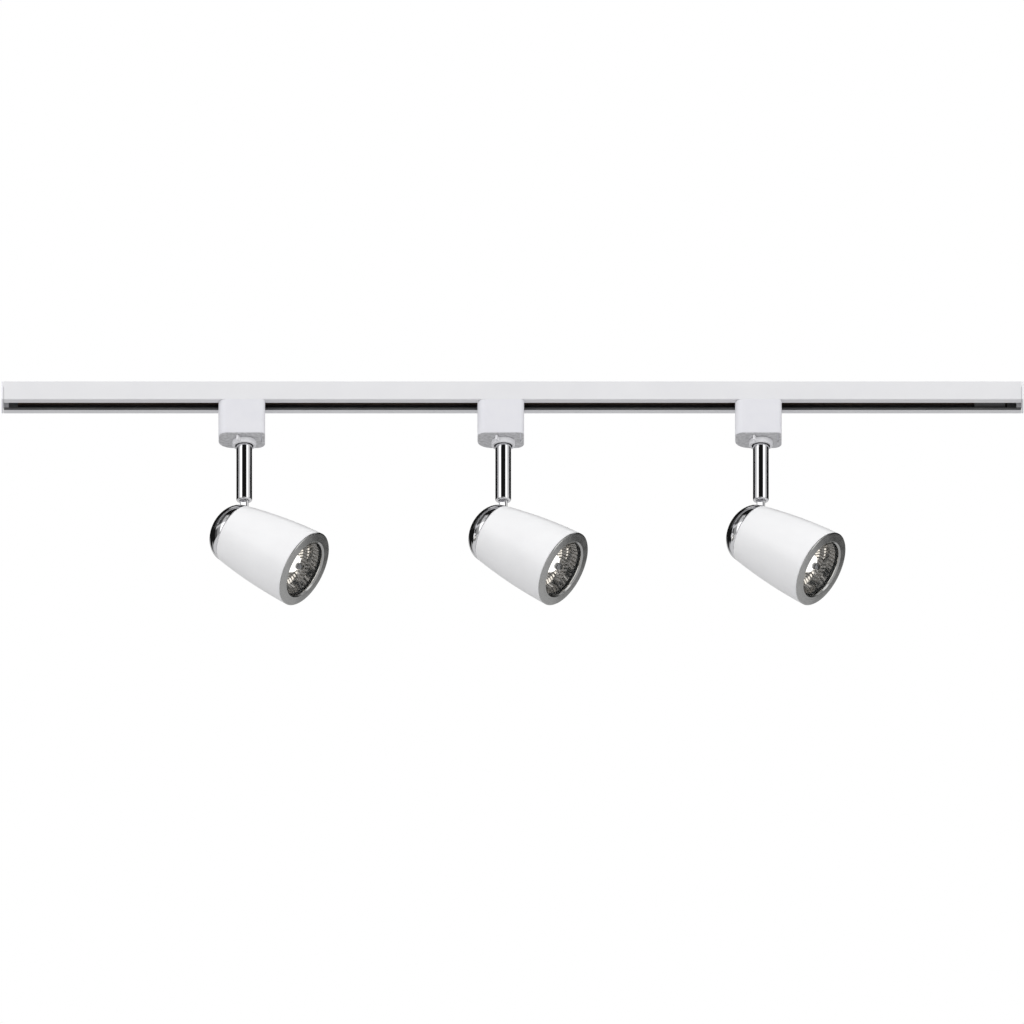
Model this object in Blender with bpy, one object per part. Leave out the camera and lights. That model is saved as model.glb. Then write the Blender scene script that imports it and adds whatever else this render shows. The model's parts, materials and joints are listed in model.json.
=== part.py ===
"""Track lighting fixture: a ceiling rail that carries three adjustable spotlights.

World frame, in metres: +X along the rail, +Z up, origin at the centre of the rail's top face.

Each spotlight hangs from three nested empties, one for each of its main joints:
  carriage  slides along the rail; its origin is on the stem's axis, at ceiling height
  swivel    turns about the stem's axis; its XZ plane holds the swivel arm and the beam
  tilt      tips about the pivot pin; +X runs along the beam, and Y is the pin's axis
Shapes are drawn in their own empty's frame, and the three spotlights share their meshes.
"""

import math

import bmesh
import bpy
from mathutils import Matrix

GAP = 0.0003  # between pieces that touch
OVERLAP = 0.001  # of a cutter past what it cuts, or of two shapes that are joined
CHAMFER = 0.0006  # on small turned edges

# Rail
RAIL_LENGTH = 1.000
RAIL_WIDTH = 0.035
RAIL_HEIGHT = 0.0195
RAIL_WALL = 0.0014
RAIL_CHAMFER = 0.0006
SLOT_WIDTH = 0.0175
LIP_THICKNESS = 0.002
LIP_EDGE_HEIGHT = 0.0008
LIP_EDGE_THICKNESS = 0.0012
INNER_FLOOR = -RAIL_HEIGHT + LIP_THICKNESS + LIP_EDGE_HEIGHT + GAP
RIB_TOP = 0.0032  # depth below the ceiling
RIB_HEIGHT = 0.0008
RIB_REACH = 0.0012
END_PLATE_THICKNESS = 0.002
END_FINGER_LENGTH = 0.005
END_FINGER_Y = (0.0092, 0.0114)
RAIL_DRILL_DEPTH = 0.003
STRIP_END = 0.016  # from the rail's end to the ends of the strips inside
SCREW_HOLE_X = 0.360
SCREW_HOLE_RADIUS = 0.0024
KNOCKOUT_X = 0.467
KNOCKOUT_RADIUS = 0.007

# Strips and conductors inside the rail, as depths below the ceiling
INSULATOR_TOP = 0.0044
INSULATOR_BOTTOM = 0.0168
INSULATOR_THICKNESS = 0.0034
GROOVE_TOP = 0.0086
GROOVE_BOTTOM = 0.0126
GROOVE_DEPTH = 0.0022
CONDUCTOR_SIZE = (0.0013, 0.0032)
GROUND_STRIP_Y = (0.0065, 0.0115)
GROUND_STRIP_THICKNESS = 0.0008
GROUND_STRIP_MARGIN = 0.002  # to the terminal block
FEED_BLOCK_X = (0.452, 0.482)
FEED_BLOCK_WIDTH = 0.020
FEED_HOLE = (0.0045, 0.008)  # radius, depth

# Spotlight places and aim
STEM_X = (-0.2625, -0.0091, 0.2430)
PAN = math.radians(-18.8)
TILT = math.radians(33.4)

# Adapter housing; x is measured from the stem's axis
HOUSING_X = (-0.0252, 0.0204)
HOUSING_HALF_DEPTH = 0.0192
HOUSING_BOTTOM = 0.056
HOUSING_WALL = 0.0018
HOUSING_FLOOR = 0.002
HOUSING_FRONT_CORNERS = (0.0090, 0.0046)  # left, right
HOUSING_REAR_CORNERS = (0.0150, 0.0088)
HOUSING_EDGE = 0.0016
COVER_THICKNESS = 0.002
HOLE_CLEARANCE = 0.0004

# Twist-lock core
NECK_RADIUS = 0.0070
NECK_TOP = 0.005
WING_SIZE = (0.0090, 0.0224)
WING_TOP = 0.008
WING_BOTTOM = 0.013
CUP_TOP = 0.0223
CUP_ROOF = 0.003
CUP_BOTTOM = 0.0535
CUP_RADIUS = 0.0122
CUP_BORE = 0.0102
WIRE_BORE = 0.003
CONTACT_SIZE = (0.0036, 0.0012, 0.0024)
CONTACT_TOP = 0.0094

# Lock collar
COLLAR_BOTTOM = 0.0618
COLLAR_RADIUS = 0.0115
COLLAR_RECESS = (0.0090, 0.0020)  # radius, depth
SLEEVE_TOP = 0.0448
SLEEVE_RADIUS = 0.0099
LEVER_WIDTH = 0.0020
LEVER_REACH = 0.0175
LEVER_HEIGHT = 0.0052
LEVER_ANGLE = math.radians(-113.7)

# Stem and swivel arm
STEM_RADIUS = 0.0077
STEM_WALL = 0.0015
STEM_TOP = 0.030
STEM_BOTTOM = 0.1203
STEM_MOUTH = 0.00495
STEM_ROUNDING = ((0.0022, 0.0), (0.0007, 0.0006), (0.0, 0.0020))  # (up, inwards) at its end
NUT_TOP = 0.040
NUT_BOTTOM = 0.0444
NUT_RADIUS = 0.0098
PIVOT_DEPTH = 0.1604  # from the ceiling to the tilt pivot
ARM_WIDTH = 0.0084
ARM_THICKNESS = 0.0035
ARM_EYE_RADIUS = 0.0055
ARM_PLUG_TOP = 0.107
PIN_RADIUS = 0.0020
PIN_CLEARANCE = 0.00035
PIN_HEAD = (0.0030, 0.0015)  # radius, height
PIN_SWAGE = (0.0035, 0.0016)

# Spotlight head, as distances ahead of the pivot and radii from the beam's axis
SHADE_REAR = -0.0109
SHADE_FRONT = 0.0738
SHADE_REAR_RADIUS = 0.0300
SHADE_FRONT_RADIUS = 0.0387
SHADE_BARREL = 0.0017
SHADE_WALL = 0.0013
CAP_DEPTH = 0.0218
CAP_RADIUS = 0.0297
CAP_WALL = 0.0013
CAP_SKIRT_RADIUS = 0.0282
CAP_SKIRT_FRONT = -0.0054
CAP_SLOT_WIDTH = 0.0046
CAP_SLOT_LOW = -0.0056
RIM_FRONT = 0.0759
RIM_RADIUS = 0.03875
RIM_BAND_RADIUS = 0.0294  # inner edge of the front band
RIM_OPENING = 0.0282
RIM_SKIRT_RADIUS = 0.0366
RIM_SKIRT_REAR = 0.0667
RIM_SKIRT_WALL = 0.001
RIM_CHAMFER = 0.0004
RIM_FALL = 0.0004  # of the band, from its inner to its outer edge
RIM_SLOPE_DEPTH = 0.0014
LENS_RADIUS = 0.0300
LENS_REAR = 0.0712
LENS_FLANGE_FRONT = 0.0735
LENS_CROWN = 0.0746
LENS_EDGE_DROP = 0.0004
LENS_EDGE_INSET = 0.0005
LAMP_FRONT = LENS_REAR - GAP
LAMP_NECK_FRONT = 0.0422
LAMP_NECK_RADIUS = 0.010
LAMP_BASE_REAR = 0.0292
LAMP_CAVITY_REAR = 0.0462
LAMP_CAVITY_FLOOR = 0.007  # radius
LAMP_CAVITY_RADIUS = 0.0272
LAMP_EDGE_HEIGHT = 0.0027
LAMP_BASE_ROUNDING = (0.0015, 0.0008)  # along, inwards
LAMP_PIN_RADIUS = 0.0019
LAMP_PIN_REAR = 0.0202
LAMP_PIN_Y = 0.005
PIN_END_SPACE = 0.002
HOLDER_REAR = 0.0096
HOLDER_RADIUS = 0.012
BRACKET_REAR = 0.0078
BRACKET_FRONT = 0.0093
BRACKET_HALF_LENGTH = 0.0303
BRACKET_WIDTH = 0.014
EAR_Y = (0.0022, 0.0037)
PIVOT_DRILL = 0.010  # half length of the cutters for the pin's holes

# Facets round a full turn
FINE = 24
MEDIUM = 16
COARSE = 12
PIN_FACETS = 8

COLOURS = {
    "white_paint": ((0.86, 0.86, 0.87), 0.35, 0.0),
    "white_plastic": ((0.84, 0.84, 0.86), 0.45, 0.0),
    "black_plastic": ((0.03, 0.03, 0.03), 0.55, 0.0),
    "copper": ((0.72, 0.42, 0.27), 0.35, 1.0),
    "brass": ((0.78, 0.62, 0.32), 0.35, 1.0),
    "chrome": ((0.86, 0.87, 0.88), 0.06, 1.0),
    "steel": ((0.62, 0.62, 0.63), 0.35, 1.0),
    "satin_nickel": ((0.55, 0.55, 0.54), 0.3, 1.0),
    "reflector": ((0.82, 0.82, 0.80), 0.12, 1.0),
    "clear_glass": ((0.92, 0.94, 0.94), 0.05, 0.0),
    "ceramic": ((0.88, 0.86, 0.82), 0.5, 0.0),
}


# Modelling helpers ---------------------------------------------------------------------------


def clear_scene():
    for obj in list(bpy.data.objects):
        bpy.data.objects.remove(obj, do_unlink=True)


def make_materials():
    made = {}
    for name, (colour, roughness, metallic) in COLOURS.items():
        material = bpy.data.materials.new(name)
        material.use_nodes = True
        shader = material.node_tree.nodes["Principled BSDF"]
        shader.inputs["Base Color"].default_value = (*colour, 1.0)
        shader.inputs["Roughness"].default_value = roughness
        shader.inputs["Metallic"].default_value = metallic
        made[name] = material
    return made


def closed_solid(bm):
    bmesh.ops.recalc_face_normals(bm, faces=bm.faces)
    return bm


def turned(profile, steps, axis="X"):
    """A solid of revolution about X, Y or Z from a loop of (along, radius) points.

    A loop that starts and ends on the axis gives a full body, and one clear of it gives a ring.
    """
    bm = bmesh.new()
    order = {"X": (0, 1, 2), "Y": (1, 2, 0), "Z": (2, 0, 1)}[axis]
    rings = []
    for along, radius in profile:
        ring = []
        for step in range(steps if radius else 1):
            angle = 2 * math.pi * step / steps
            local = (along, radius * math.cos(angle), radius * math.sin(angle))
            point = [0.0, 0.0, 0.0]
            for place, value in zip(order, local):
                point[place] = value
            ring.append(bm.verts.new(point))
        rings.append(ring)
    for ring, following in zip(rings, rings[1:] + rings[:1]):
        for step in range(steps):
            corners = [
                ring[step % len(ring)],
                ring[(step + 1) % len(ring)],
                following[(step + 1) % len(following)],
                following[step % len(following)],
            ]
            corners = list(dict.fromkeys(corners))
            if len(corners) > 2:
                bm.faces.new(corners)
    return closed_solid(bm)


def extruded(outline, low, high, axis="Z"):
    """A prism from a loop of two-dimensional points, between low and high along an axis."""
    bm = bmesh.new()
    place = {
        "X": lambda a, b, height: (height, a, b),
        "Y": lambda a, b, height: (a, height, b),
        "Z": lambda a, b, height: (a, b, height),
    }[axis]
    base = [bm.verts.new(place(a, b, low)) for a, b in outline]
    top = [bm.verts.new(place(a, b, high)) for a, b in outline]
    bm.faces.new(base)
    bm.faces.new(top)
    for index in range(len(outline)):
        after = (index + 1) % len(outline)
        bm.faces.new((base[index], base[after], top[after], top[index]))
    return closed_solid(bm)


def block(x, y, z):
    """A box between pairs of limits."""
    return extruded([(x[0], y[0]), (x[1], y[0]), (x[1], y[1]), (x[0], y[1])], z[0], z[1])


def cylinder(centre, radius, low, high, steps, axis="Z"):
    outline = arc(centre, radius, 0.0, 2 * math.pi, steps)[:-1]
    return extruded(outline, low, high, axis)


def arc(centre, radius, start, end, steps):
    """Points along an arc, both ends included."""
    return [
        (
            centre[0] + radius * math.cos(start + (end - start) * step / steps),
            centre[1] + radius * math.sin(start + (end - start) * step / steps),
        )
        for step in range(steps + 1)
    ]


def combined(base, others, operation):
    """The solid base with the solids others cut from it or joined to it, one after another."""
    result = temporary_object(base)
    helpers = []
    for other in others:
        helper = temporary_object(other)
        helpers.append(helper)
        modifier = result.modifiers.new(operation, "BOOLEAN")
        modifier.operation = operation
        modifier.solver = "EXACT"
        modifier.object = helper
    graph = bpy.context.evaluated_depsgraph_get()
    mesh = bpy.data.meshes.new_from_object(result.evaluated_get(graph))
    bm = bmesh.new()
    bm.from_mesh(mesh)
    bpy.data.meshes.remove(mesh)
    for used in (result, *helpers):
        bpy.data.objects.remove(used, do_unlink=True)
    return bm


def temporary_object(bm):
    mesh = bpy.data.meshes.new("temporary")
    bm.to_mesh(mesh)
    bm.free()
    obj = bpy.data.objects.new("temporary", mesh)
    obj.hide_render = True
    obj.display_type = "WIRE"
    bpy.context.scene.collection.objects.link(obj)
    return obj


def cut(base, *cutters):
    return combined(base, cutters, "DIFFERENCE")


def joined(base, *others):
    return combined(base, others, "UNION")


def finished_mesh(name, bm, material):
    mesh = bpy.data.meshes.new(name)
    bm.to_mesh(mesh)
    bm.free()
    mesh.materials.append(material)
    mesh.shade_smooth()
    mesh.set_sharp_from_angle(angle=math.radians(32))
    return mesh


def place(name, mesh, frame):
    obj = bpy.data.objects.new(name, mesh)
    obj.parent = frame
    bpy.context.scene.collection.objects.link(obj)
    return obj


def make_empty(name, parent, location, rotation=(0.0, 0.0, 0.0)):
    empty = bpy.data.objects.new(name, None)
    empty.parent = parent
    empty.location = location
    empty.rotation_euler = rotation
    empty.empty_display_size = 0.02
    bpy.context.scene.collection.objects.link(empty)
    return empty


# Rail ----------------------------------------------------------------------------------------


def mirrored_outline(half):
    """A symmetric outline from its +Y half, which runs from the slot round to the top."""
    return half + [(-y, z) for y, z in reversed(half)]


def rail_channel():
    half_slot = SLOT_WIDTH / 2
    half_width = RAIL_WIDTH / 2
    inside = half_width - RAIL_WALL
    lip_top = -RAIL_HEIGHT + LIP_THICKNESS
    outer = [
        (half_slot, -RAIL_HEIGHT),
        (half_width - RAIL_CHAMFER, -RAIL_HEIGHT),
        (half_width, -RAIL_HEIGHT + RAIL_CHAMFER),
        (half_width, -RAIL_CHAMFER),
        (half_width - RAIL_CHAMFER, 0.0),
    ]
    inner = [
        (inside, -RAIL_WALL),
        (inside, -RIB_TOP),
        (inside - RIB_REACH, -RIB_TOP),
        (inside - RIB_REACH, -RIB_TOP - RIB_HEIGHT),
        (inside, -RIB_TOP - RIB_HEIGHT),
        (inside, lip_top),
        (half_slot + LIP_EDGE_THICKNESS, lip_top),
        (half_slot + LIP_EDGE_THICKNESS, lip_top + LIP_EDGE_HEIGHT),
        (half_slot, lip_top + LIP_EDGE_HEIGHT),
    ]
    outline = mirrored_outline(outer) + [(-y, z) for y, z in reversed(inner)] + inner
    half_length = RAIL_LENGTH / 2 - END_PLATE_THICKNESS - GAP
    rail = extruded(outline, -half_length, half_length, "X")
    holes = [(-SCREW_HOLE_X, SCREW_HOLE_RADIUS), (SCREW_HOLE_X, SCREW_HOLE_RADIUS)]
    holes.append((KNOCKOUT_X, KNOCKOUT_RADIUS))
    drills = [
        cylinder((x, 0.0), radius, -RAIL_DRILL_DEPTH, OVERLAP, COARSE)
        for x, radius in holes
    ]
    return cut(rail, *drills)


def insulator(side):
    """A plastic strip along one side wall, with a groove that faces the middle of the rail."""
    wall = RAIL_WIDTH / 2 - RAIL_WALL - GAP
    face = wall - INSULATOR_THICKNESS
    outline = [
        (wall, -INSULATOR_TOP),
        (face, -INSULATOR_TOP),
        (face, -GROOVE_TOP),
        (face + GROOVE_DEPTH, -GROOVE_TOP),
        (face + GROOVE_DEPTH, -GROOVE_BOTTOM),
        (face, -GROOVE_BOTTOM),
        (face, -INSULATOR_BOTTOM),
        (wall, -INSULATOR_BOTTOM),
    ]
    half_length = RAIL_LENGTH / 2 - STRIP_END
    return extruded([(side * y, z) for y, z in outline], -half_length, half_length, "X")


def conductor(side):
    """A bar at the bottom of an insulator's groove."""
    thickness, height = CONDUCTOR_SIZE
    floor = RAIL_WIDTH / 2 - RAIL_WALL - GAP - INSULATOR_THICKNESS + GROOVE_DEPTH - GAP
    middle = -(GROOVE_TOP + GROOVE_BOTTOM) / 2
    y_limits = sorted((side * floor, side * (floor - thickness)))
    half_length = RAIL_LENGTH / 2 - STRIP_END
    return block(
        (-half_length, half_length), y_limits, (middle - height / 2, middle + height / 2)
    )


def ground_strip():
    top = -RAIL_WALL - GAP
    ends = (-RAIL_LENGTH / 2 + STRIP_END, FEED_BLOCK_X[0] - GROUND_STRIP_MARGIN)
    return block(ends, GROUND_STRIP_Y, (top - GROUND_STRIP_THICKNESS, top))


def end_cap(side):
    """A plate over the rail's end, with two fingers inside the channel, above its lips."""
    half = RAIL_WIDTH / 2
    corner = RAIL_CHAMFER
    outline = mirrored_outline(
        [
            (half - corner, -RAIL_HEIGHT),
            (half, -RAIL_HEIGHT + corner),
            (half, -corner),
            (half - corner, 0.0),
        ]
    )
    end = side * RAIL_LENGTH / 2
    inner_face = end - side * END_PLATE_THICKNESS
    plate = extruded(outline, *sorted((end, inner_face)), "X")
    root = inner_face + side * END_PLATE_THICKNESS / 2
    finger_x = sorted((root, inner_face - side * END_FINGER_LENGTH))
    fingers = [
        block(finger_x, sorted(hand * y for y in END_FINGER_Y), (INNER_FLOOR, -RIB_TOP))
        for hand in (-1, 1)
    ]
    return joined(plate, *fingers)


def feed_block():
    """The terminal block below the rail's cable knock-out, with the cable's hole in its top."""
    top = -RIB_TOP
    body = block(
        FEED_BLOCK_X,
        (-FEED_BLOCK_WIDTH / 2, FEED_BLOCK_WIDTH / 2),
        (INNER_FLOOR, top),
    )
    radius, depth = FEED_HOLE
    hole = cylinder((KNOCKOUT_X, 0.0), radius, top - depth, top + OVERLAP, COARSE)
    return cut(body, hole)


# Adapter -------------------------------------------------------------------------------------


def housing_outline(inset):
    """The housing's plan, moved inwards: larger corners on its left and at its rear."""
    left, right = HOUSING_X[0] + inset, HOUSING_X[1] - inset
    half = HOUSING_HALF_DEPTH - inset
    front_left, front_right = (radius - inset for radius in HOUSING_FRONT_CORNERS)
    rear_left, rear_right = (radius - inset for radius in HOUSING_REAR_CORNERS)
    quarter = math.pi / 2
    return (
        arc((right - rear_right, half - rear_right), rear_right, 0.0, quarter, 4)
        + arc((left + rear_left, half - rear_left), rear_left, quarter, 2 * quarter, 6)
        + arc((left + front_left, -half + front_left), front_left, -2 * quarter, -quarter, 5)
        + arc((right - front_right, -half + front_right), front_right, -quarter, 0.0, 3)
    )


def adapter_housing():
    top = -RAIL_HEIGHT - GAP
    shell = extruded(housing_outline(0.0), -HOUSING_BOTTOM, top)
    lower_edges = [
        edge
        for edge in shell.edges
        if all(abs(vert.co.z + HOUSING_BOTTOM) < 1e-6 for vert in edge.verts)
    ]
    bmesh.ops.bevel(
        shell, geom=lower_edges, offset=HOUSING_EDGE, segments=2, profile=0.5, affect="EDGES"
    )
    floor = -HOUSING_BOTTOM + HOUSING_FLOOR
    hollow = extruded(housing_outline(HOUSING_WALL), floor, top + OVERLAP)
    hole = cylinder(
        (0.0, 0.0),
        SLEEVE_RADIUS + HOLE_CLEARANCE,
        -HOUSING_BOTTOM - OVERLAP,
        floor + OVERLAP,
        MEDIUM,
    )
    return cut(shell, hollow, hole)


def adapter_cover():
    top = -RAIL_HEIGHT - GAP
    plate = extruded(housing_outline(HOUSING_WALL + GAP), top - COVER_THICKNESS, top)
    hole = cylinder(
        (0.0, 0.0),
        NECK_RADIUS + HOLE_CLEARANCE,
        top - COVER_THICKNESS - OVERLAP,
        top + OVERLAP,
        MEDIUM,
    )
    return cut(plate, hole)


def contact_neck():
    """The twist-lock core: a T-shaped head in the rail, a neck, and a cup round the stem."""
    core = turned(
        [
            (-NECK_TOP, 0.0),
            (-NECK_TOP, NECK_RADIUS - CHAMFER),
            (-NECK_TOP - CHAMFER, NECK_RADIUS),
            (-CUP_TOP, NECK_RADIUS),
            (-CUP_TOP, CUP_RADIUS),
            (-CUP_BOTTOM, CUP_RADIUS),
            (-CUP_BOTTOM, CUP_BORE),
            (-CUP_TOP - CUP_ROOF, CUP_BORE),
            (-CUP_TOP - CUP_ROOF, 0.0),
        ],
        MEDIUM,
        "Z",
    )
    width, length = WING_SIZE
    wings = block(
        (-width / 2, width / 2), (-length / 2, length / 2), (-WING_BOTTOM, -WING_TOP)
    )
    bore = cylinder((0.0, 0.0), WIRE_BORE, -CUP_TOP - CUP_ROOF - OVERLAP, 0.0, COARSE)
    return cut(joined(core, wings), bore)


def contact(side):
    """A brass blade at one end of the T, which reaches into the insulator's groove."""
    width, thickness, height = CONTACT_SIZE
    start = WING_SIZE[1] / 2 + GAP
    y_limits = sorted((side * start, side * (start + thickness)))
    return block((-width / 2, width / 2), y_limits, (-CONTACT_TOP - height, -CONTACT_TOP))


def lock_collar():
    """A grip ring and its lever below the housing, with a sleeve that meets the core inside."""
    recess_radius, recess_depth = COLLAR_RECESS
    bore = STEM_RADIUS + GAP
    flange_top = HOUSING_BOTTOM + GAP
    ring = turned(
        [
            (-SLEEVE_TOP, bore),
            (-SLEEVE_TOP, SLEEVE_RADIUS),
            (-flange_top, SLEEVE_RADIUS),
            (-flange_top, COLLAR_RADIUS),
            (-COLLAR_BOTTOM + CHAMFER, COLLAR_RADIUS),
            (-COLLAR_BOTTOM, COLLAR_RADIUS - CHAMFER),
            (-COLLAR_BOTTOM, recess_radius),
            (-COLLAR_BOTTOM + recess_depth, recess_radius),
            (-COLLAR_BOTTOM + recess_depth, bore),
        ],
        MEDIUM,
        "Z",
    )
    lever = block(
        (COLLAR_RADIUS - LEVER_WIDTH / 2, LEVER_REACH),
        (-LEVER_WIDTH / 2, LEVER_WIDTH / 2),
        (-flange_top - LEVER_HEIGHT, -flange_top),
    )
    lever.transform(Matrix.Rotation(LEVER_ANGLE, 4, "Z"))
    return joined(ring, lever)


# Stem and arm --------------------------------------------------------------------------------


def stem():
    """A tube with its lower end rounded in to a small mouth for the arm."""
    bore = STEM_RADIUS - STEM_WALL
    rounding = [(-STEM_BOTTOM + up, STEM_RADIUS - inwards) for up, inwards in STEM_ROUNDING]
    return turned(
        [(-STEM_TOP, bore), (-STEM_TOP, STEM_RADIUS)]
        + rounding
        + [
            (-STEM_BOTTOM, STEM_MOUTH),
            (-STEM_BOTTOM + STEM_WALL, STEM_MOUTH),
            (-STEM_BOTTOM + STEM_WALL, bore),
        ],
        MEDIUM,
        "Z",
    )


def stem_nut():
    """The ring on the stem's top that rests on the collar's sleeve."""
    bore = STEM_RADIUS + GAP
    profile = [
        (-NUT_TOP, bore),
        (-NUT_TOP, NUT_RADIUS - CHAMFER),
        (-NUT_TOP - CHAMFER, NUT_RADIUS),
        (-NUT_BOTTOM, NUT_RADIUS),
        (-NUT_BOTTOM, bore),
    ]
    return turned(profile, MEDIUM, "Z")


def pivot_drill(z):
    """A cutter for the pivot pin's hole, along Y."""
    return cylinder(
        (0.0, z), PIN_RADIUS + PIN_CLEARANCE, -PIVOT_DRILL, PIVOT_DRILL, COARSE, "Y"
    )


def swivel_arm():
    """A flat bar with an eye at the pivot and a round plug inside the stem's lower end."""
    half = ARM_WIDTH / 2
    shoulder = math.acos(half / ARM_EYE_RADIUS)
    eye = arc(
        (0.0, -PIVOT_DEPTH), ARM_EYE_RADIUS, math.pi - shoulder, 2 * math.pi + shoulder, COARSE
    )
    plug_bottom = STEM_BOTTOM - STEM_WALL - GAP
    outline = [(half, -plug_bottom + OVERLAP), (-half, -plug_bottom + OVERLAP)] + eye
    bar = extruded(outline, -ARM_THICKNESS / 2, ARM_THICKNESS / 2, "Y")
    plug_radius = STEM_RADIUS - STEM_WALL - GAP
    plug = cylinder((0.0, 0.0), plug_radius, -plug_bottom, -ARM_PLUG_TOP, MEDIUM)
    hole = pivot_drill(-PIVOT_DEPTH)
    return cut(joined(bar, plug), hole)


# Head ----------------------------------------------------------------------------------------


def shade_radius(along):
    """The shade's outer radius: a straight taper with a slight barrel."""
    share = (along - SHADE_REAR) / (SHADE_FRONT - SHADE_REAR)
    taper = SHADE_REAR_RADIUS + (SHADE_FRONT_RADIUS - SHADE_REAR_RADIUS) * share
    return taper + 4 * SHADE_BARREL * share * (1 - share)


def shade():
    stations = [SHADE_REAR + (SHADE_FRONT - SHADE_REAR) * step / 4 for step in range(5)]
    outer = [(along, shade_radius(along)) for along in stations]
    inner = [(along, radius - SHADE_WALL) for along, radius in reversed(outer)]
    return turned(outer + inner, FINE)


def dome(rim, radius, depth, steps):
    """Points from a rim back to the apex along a quarter of an ellipse."""
    quarter = [math.pi / 2 * step / steps for step in range(steps + 1)]
    points = [(rim - depth * math.sin(a), radius * math.cos(a)) for a in quarter[:-1]]
    return points + [(rim - depth, 0.0)]


def rear_cap():
    """The dome behind the shade, slotted from its skirt to past the apex for the arm."""
    rim = SHADE_REAR - GAP
    inner_radius = CAP_SKIRT_RADIUS - CAP_WALL
    outer = list(reversed(dome(rim, CAP_RADIUS, CAP_DEPTH, 5)))
    skirt = [
        (rim, CAP_SKIRT_RADIUS),
        (CAP_SKIRT_FRONT, CAP_SKIRT_RADIUS),
        (CAP_SKIRT_FRONT, inner_radius),
    ]
    shell = turned(outer + skirt + dome(rim, inner_radius, CAP_DEPTH - CAP_WALL, 4), FINE)
    half_slot = CAP_SLOT_WIDTH / 2
    slot = block(
        (rim - CAP_DEPTH - OVERLAP, 0.0),
        (-half_slot, half_slot),
        (CAP_SLOT_LOW, CAP_RADIUS + OVERLAP),
    )
    return cut(shell, slot)


def front_ring():
    """The metal ring at the shade's mouth: a band, a slope in to the lens, and a skirt."""
    back = SHADE_FRONT + GAP
    return turned(
        [
            (back, RIM_RADIUS),
            (RIM_FRONT - RIM_FALL - RIM_CHAMFER, RIM_RADIUS),
            (RIM_FRONT - RIM_FALL, RIM_RADIUS - RIM_CHAMFER),
            (RIM_FRONT, RIM_BAND_RADIUS),
            (RIM_FRONT - RIM_SLOPE_DEPTH, RIM_OPENING),
            (LENS_FLANGE_FRONT + GAP, RIM_OPENING),
            (LENS_FLANGE_FRONT + GAP, RIM_SKIRT_RADIUS - RIM_SKIRT_WALL),
            (RIM_SKIRT_REAR, RIM_SKIRT_RADIUS - RIM_SKIRT_WALL),
            (RIM_SKIRT_REAR, RIM_SKIRT_RADIUS),
            (back, RIM_SKIRT_RADIUS),
        ],
        FINE,
    )


def lamp_lens():
    """The clear cover: a slightly domed disc that stands in the ring's opening."""
    shoulder = RIM_OPENING - GAP
    return turned(
        [
            (LENS_CROWN, 0.0),
            (LENS_CROWN - LENS_EDGE_DROP, shoulder - LENS_EDGE_INSET),
            (LENS_FLANGE_FRONT, shoulder),
            (LENS_FLANGE_FRONT, LENS_RADIUS),
            (LENS_REAR, LENS_RADIUS),
            (LENS_REAR, 0.0),
        ],
        FINE,
    )


def bowl(start, start_radius, end, end_radius, steps):
    """Points along a parabola that opens from a small radius at start to a large one at end."""
    points = []
    for step in range(steps + 1):
        share = (step / steps) ** 2
        radius = start_radius + (end_radius - start_radius) * step / steps
        points.append((start + (end - start) * share, radius))
    return points


def lamp_pin_solids(radius, rear, front):
    """A pair of rods on the lamp's two pins."""
    return [
        cylinder((side * LAMP_PIN_Y, 0.0), radius, rear, front, PIN_FACETS, "X")
        for side in (-1, 1)
    ]


def lamp():
    """The reflector lamp: a glass bowl on a round base with two pins."""
    outer = bowl(LAMP_NECK_FRONT, LAMP_NECK_RADIUS, LAMP_FRONT - LAMP_EDGE_HEIGHT, LENS_RADIUS, 4)
    inner = bowl(LAMP_CAVITY_REAR, LAMP_CAVITY_FLOOR, LAMP_FRONT, LAMP_CAVITY_RADIUS, 4)
    along, inwards = LAMP_BASE_ROUNDING
    body = turned(
        [(LAMP_BASE_REAR, 0.0), (LAMP_BASE_REAR, LAMP_NECK_RADIUS - inwards)]
        + [(LAMP_BASE_REAR + along, LAMP_NECK_RADIUS)]
        + outer
        + [(LAMP_FRONT, LENS_RADIUS)]
        + list(reversed(inner))
        + [(LAMP_CAVITY_REAR, 0.0)],
        FINE,
    )
    pins = lamp_pin_solids(LAMP_PIN_RADIUS, LAMP_PIN_REAR, LAMP_BASE_REAR + OVERLAP)
    return joined(body, *pins)


def lampholder():
    """The ceramic socket, with two holes for the lamp's pins."""
    front = LAMP_BASE_REAR - GAP
    body = turned(
        [
            (HOLDER_REAR, 0.0),
            (HOLDER_REAR, HOLDER_RADIUS - CHAMFER),
            (HOLDER_REAR + CHAMFER, HOLDER_RADIUS),
            (front, HOLDER_RADIUS),
            (front, 0.0),
        ],
        MEDIUM,
    )
    holes = lamp_pin_solids(
        LAMP_PIN_RADIUS + HOLE_CLEARANCE, LAMP_PIN_REAR - PIN_END_SPACE, front + OVERLAP
    )
    return cut(body, *holes)


def head_bracket():
    """A cross strip behind the lampholder, with two ears that hold the pivot pin."""
    half_width = BRACKET_WIDTH / 2
    strip = block(
        (BRACKET_REAR, BRACKET_FRONT),
        (-BRACKET_HALF_LENGTH, BRACKET_HALF_LENGTH),
        (-half_width, half_width),
    )
    outline = arc((0.0, 0.0), ARM_EYE_RADIUS, math.pi / 2, 3 * math.pi / 2, 8)
    middle = (BRACKET_REAR + BRACKET_FRONT) / 2
    outline += [(middle, -ARM_EYE_RADIUS), (middle, ARM_EYE_RADIUS)]
    ears = [extruded(outline, *sorted(side * y for y in EAR_Y), "Y") for side in (-1, 1)]
    return cut(joined(strip, *ears), pivot_drill(0.0))


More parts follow.
